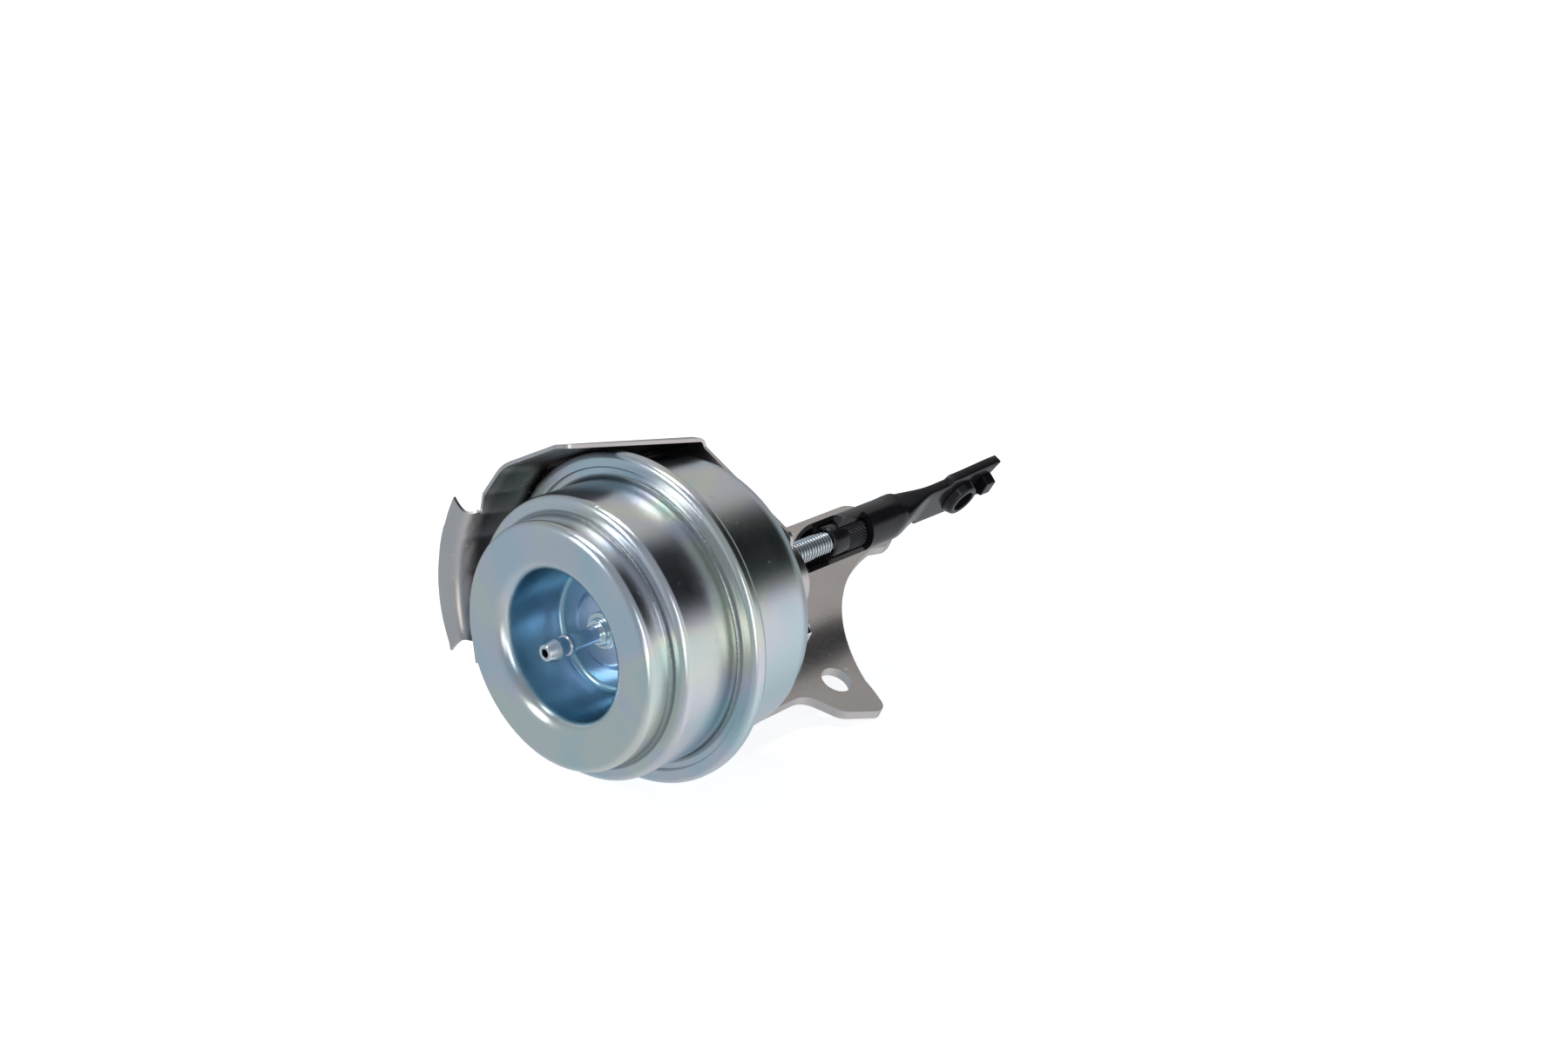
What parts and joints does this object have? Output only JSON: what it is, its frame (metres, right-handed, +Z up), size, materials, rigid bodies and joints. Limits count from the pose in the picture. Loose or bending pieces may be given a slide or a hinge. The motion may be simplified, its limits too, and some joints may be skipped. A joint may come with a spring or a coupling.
{
  "type": "turbocharger vacuum actuator",
  "caption": "Vacuum actuator for a turbocharger's vane lever: sheet-steel diaphragm can with hose nipple, bracket, heat shield and a threaded pull rod with adjustable rod end.",
  "frame": {"origin": "on the pull rod's axis, at the rear edge of the hose nipple's barb", "axes": "+X along the pull rod towards the rod end, +Z up as the part rests, +Y completes the right-handed frame"},
  "size_m": [0.1591, 0.086, 0.0809],
  "materials": {
    "zinc_can": "satin zinc plate with a faint rainbow",
    "zinc_small": "bright zinc",
    "bracket_steel": "satin, lightly scratched",
    "shield_steel": "satin with a rough cut edge",
    "black_steel": "gloss black",
    "rod_thread": "bright rolled thread",
    "eyelet_steel": "turned",
    "spring_steel": "drawn wire",
    "rubber": "matte",
    "bush_plastic": "satin"
  },
  "bodies": {
    "housing": {"front_cap": "zinc_can", "hose_nipple": "zinc_small", "back_shell": "zinc_can", "spring_seat": "zinc_small", "return_spring": "spring_steel", "diaphragm": "rubber", "guide_bush": "bush_plastic", "bush_retainer": "zinc_small", "bracket_studs": "zinc_small", "stud_washers": "zinc_small", "stud_nuts": "zinc_small", "bracket": "bracket_steel", "heat_shield": "shield_steel"},
    "rod": {"pull_rod": "rod_thread", "piston_cup": "zinc_small", "backing_plate": "zinc_small", "bump_stop": "rubber", "rivet_washer": "zinc_small"},
    "rod_end": {"rod_end": "black_steel", "eyelet_bush": "eyelet_steel", "retaining_clip": "black_steel"},
    "adjuster": {"adjuster_nut": "black_steel"}
  },
  "joints": [
    {"name": "rod_slide", "type": "slide", "parent": "housing", "child": "rod", "axis": [1, 0, 0], "range_m": [-0.012, 0], "stiffness_N_per_m": 3000, "springref_m": 0.012, "deforming": ["return_spring", "diaphragm"]},
    {"name": "length_adjust", "type": "slide", "parent": "rod", "child": "rod_end", "axis": [1, 0, 0], "range_m": [-0.002, 0.002]},
    {"name": "adjuster_spin", "type": "hinge", "parent": "rod_end", "child": "adjuster", "pos_m": [0.0964, 0, 0], "axis": [1, 0, 0], "range_deg": [-725, 725]}
  ],
  "couplings": [
    {"joint": "adjuster_spin", "follows": "length_adjust", "rad_per_m": 6283.2}
  ]
}
